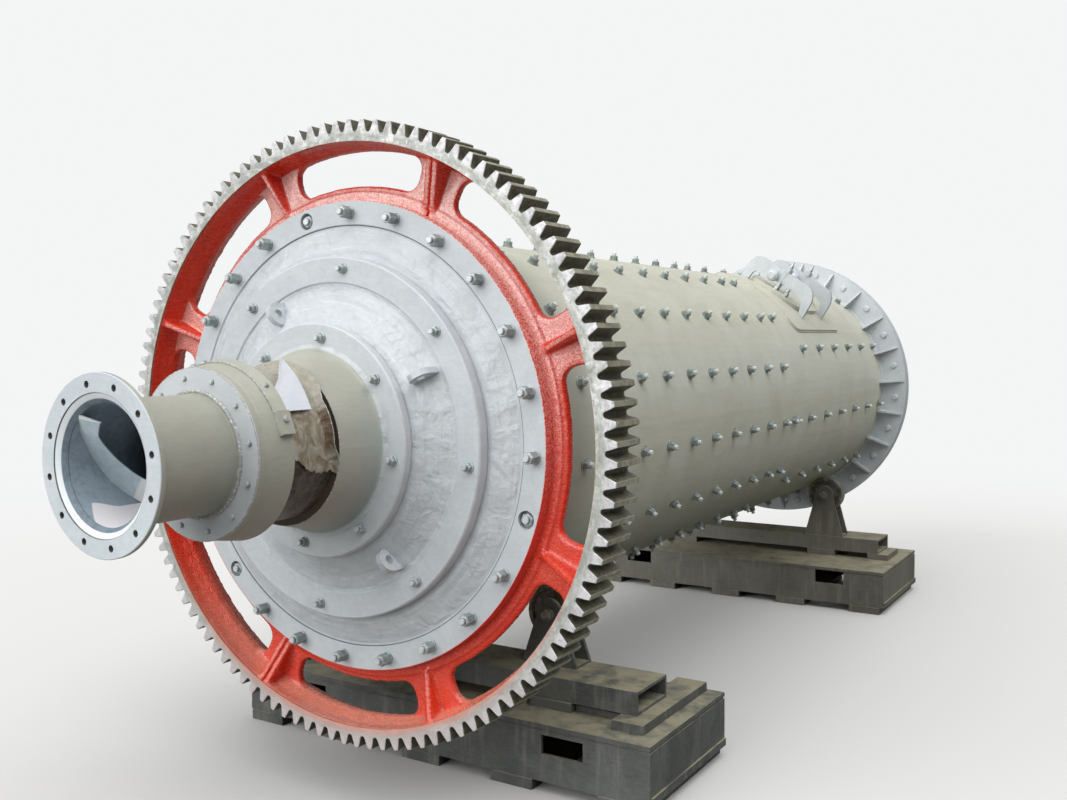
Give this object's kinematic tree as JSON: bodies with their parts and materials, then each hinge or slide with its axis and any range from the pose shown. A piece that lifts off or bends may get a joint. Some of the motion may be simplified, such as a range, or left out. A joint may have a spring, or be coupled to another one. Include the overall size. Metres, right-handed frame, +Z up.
{
  "type": "ball mill drum on roller stands",
  "caption": "Bare ball mill drum with a split red ring gear, flanged ends, hollow trunnions and a spiral outlet, resting on roller stands.",
  "frame": {"origin": "middle of the underside on the floor, below the drum axis", "axes": "+Y along the drum from the gear and outlet end to the feed end, +Z up, +X to the right of someone who faces the gear"},
  "size_m": [2.3398, 6.668, 2.58],
  "materials": {
    "bare_steel": "bare machined steel, greased",
    "cast_dark": "dark rough casting with dirt",
    "gear_red": "gloss red paint over rough casting, teeth bare steel",
    "head_paint": "light blue grey paint over rough casting",
    "shell_paint": "matt warm grey primer",
    "stand_paint": "worn dark grey paint with dust and oil",
    "wrap_cloth": "greasy brown wrapping sheet"
  },
  "bodies": {
    "stand": {"front_base": "stand_paint", "rear_base": "stand_paint", "front_packing": "stand_paint", "rear_packing": "stand_paint", "front_spacers": "stand_paint", "rear_spacers": "stand_paint", "front_slide": "stand_paint", "rear_slide": "stand_paint", "front_bracket_left": "stand_paint", "front_bracket_right": "stand_paint", "rear_bracket_left": "stand_paint", "rear_bracket_right": "stand_paint"},
    "front_roller_left_body": {"front_roller_left": "bare_steel"},
    "front_roller_right_body": {"front_roller_right": "bare_steel"},
    "rear_roller_left_body": {"rear_roller_left": "bare_steel"},
    "rear_roller_right_body": {"rear_roller_right": "bare_steel"},
    "drum": {"shell": "shell_paint", "shell_front_flange": "head_paint", "shell_rear_flange": "head_paint", "gear_half_upper": "gear_red", "gear_half_lower": "gear_red", "front_head": "head_paint", "front_trunnion": "head_paint", "front_disc": "head_paint", "front_sleeve": "cast_dark", "sleeve_ring": "cast_dark", "spout_tube": "cast_dark", "spout_flange": "cast_dark", "spout_flight": "cast_dark", "journal_wrap": "wrap_cloth", "lifting_lugs": "head_paint", "rear_head": "head_paint", "rear_trunnion": "head_paint", "rear_disc": "head_paint", "rear_sleeve": "cast_dark", "rear_ring": "cast_dark", "manhole_pad": "shell_paint", "manhole_cover": "cast_dark", "manhole_clamp_front": "head_paint", "manhole_clamp_rear": "head_paint"}
  },
  "joints": [
    {"name": "drum_spin", "type": "hinge", "parent": "stand", "child": "drum", "pos_m": [0, 0, 1.41], "axis": [0, 1, 0], "continuous": true},
    {"name": "front_roller_left_spin", "type": "hinge", "parent": "stand", "child": "front_roller_left_body", "pos_m": [-0.42079, -1.442, 0.61861], "axis": [0, 1, 0], "continuous": true},
    {"name": "front_roller_right_spin", "type": "hinge", "parent": "stand", "child": "front_roller_right_body", "pos_m": [0.42079, -1.442, 0.61861], "axis": [0, 1, 0], "continuous": true},
    {"name": "rear_roller_left_spin", "type": "hinge", "parent": "stand", "child": "rear_roller_left_body", "pos_m": [-0.52683, 2.052, 0.68488], "axis": [0, 1, 0], "continuous": true},
    {"name": "rear_roller_right_spin", "type": "hinge", "parent": "stand", "child": "rear_roller_right_body", "pos_m": [0.52683, 2.052, 0.68488], "axis": [0, 1, 0], "continuous": true}
  ],
  "couplings": [
    {"joint": "front_roller_left_spin", "follows": "drum_spin", "ratio": -6.7241},
    {"joint": "front_roller_right_spin", "follows": "drum_spin", "ratio": -6.7241},
    {"joint": "rear_roller_left_spin", "follows": "drum_spin", "ratio": -6.7241},
    {"joint": "rear_roller_right_spin", "follows": "drum_spin", "ratio": -6.7241}
  ]
}
